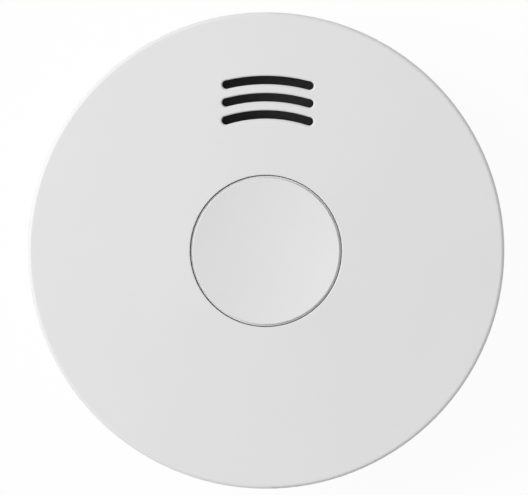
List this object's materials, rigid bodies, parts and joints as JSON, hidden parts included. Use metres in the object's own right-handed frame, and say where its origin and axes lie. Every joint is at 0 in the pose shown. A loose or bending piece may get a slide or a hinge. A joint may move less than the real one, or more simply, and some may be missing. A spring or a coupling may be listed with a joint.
{
  "type": "smoke detector",
  "caption": "Round ceiling smoke detector with a slightly domed face, curved sound slots, a large dished test button, a ribbed smoke inlet and a twist-on mounting plate.",
  "frame": {"origin": "centre of the mounting plate's ceiling face, which is the centre of the bottom of the part's box", "axes": "the part lies on its back: +Z points out of the front face, away from the ceiling; +Y points from the test button to the sound slots; +X is to the right seen from the front"},
  "size_m": [0.118, 0.118, 0.0353],
  "materials": {
    "white_shell": "fine moulded grain, pale grey-white",
    "clear_plastic": "clear moulded plastic",
    "board": "green solder mask",
    "black_plastic": "matt black moulding",
    "dark_plastic": "dark moulded plastic that passes infrared light",
    "red_lamp": "tinted clear plastic",
    "chip_black": "moulded chip package",
    "can_aluminium": "drawn can",
    "coil": "ferrite drum with enamelled wire",
    "chip_ceramic": "small ceramic chips",
    "steel": "plated steel",
    "nickel": "nickel strip",
    "foam": "closed-cell foam",
    "brass": "bright sheet brass",
    "piezo_ceramic": "silvered ceramic",
    "cell": "sleeved steel can"
  },
  "bodies": {
    "mount": {"mounting_plate": "white_shell"},
    "head": {"rear_housing": "white_shell", "smoke_grille": "white_shell", "front_cover": "white_shell", "circuit_board": "board", "test_switch_body": "black_plastic", "indicator_led": "red_lamp", "power_switch_body": "black_plastic", "microcontroller": "chip_black", "storage_capacitor": "can_aluminium", "horn_coil": "coil", "chip_parts": "chip_ceramic", "chamber_base": "black_plastic", "chamber_cover": "black_plastic", "insect_screen": "steel", "infrared_led": "clear_plastic", "photodiode": "dark_plastic", "horn_housing": "black_plastic", "horn_cap": "black_plastic", "horn_gasket": "foam", "piezo_disc": "brass", "piezo_ceramic": "piezo_ceramic", "horn_contacts": "brass", "battery_cell": "cell", "battery_tabs": "nickel", "board_screws": "steel", "cover_screws": "steel"},
    "button": {"test_button": "white_shell", "light_guide": "clear_plastic"},
    "plunger": {"test_switch_plunger": "black_plastic"},
    "power_slider": {"power_switch_slider": "black_plastic"}
  },
  "joints": [
    {"name": "head_twist", "type": "hinge", "parent": "mount", "child": "head", "pos_m": [0, 0, 0], "axis": [0, 0, 1], "range_deg": [0, 20]},
    {"name": "button_press", "type": "slide", "parent": "head", "child": "button", "axis": [0, 0, -1], "range_m": [0, 0.001], "stiffness_N_per_m": 2000, "springref_m": -0.0005},
    {"name": "plunger_press", "type": "slide", "parent": "head", "child": "plunger", "axis": [0, 0, -1], "range_m": [0, 0.00105]},
    {"name": "power_slide", "type": "slide", "parent": "head", "child": "power_slider", "axis": [1, 0, 0], "range_m": [0, 0.002]}
  ],
  "couplings": [
    {"joint": "plunger_press", "follows": "button_press", "ratio": 1}
  ]
}
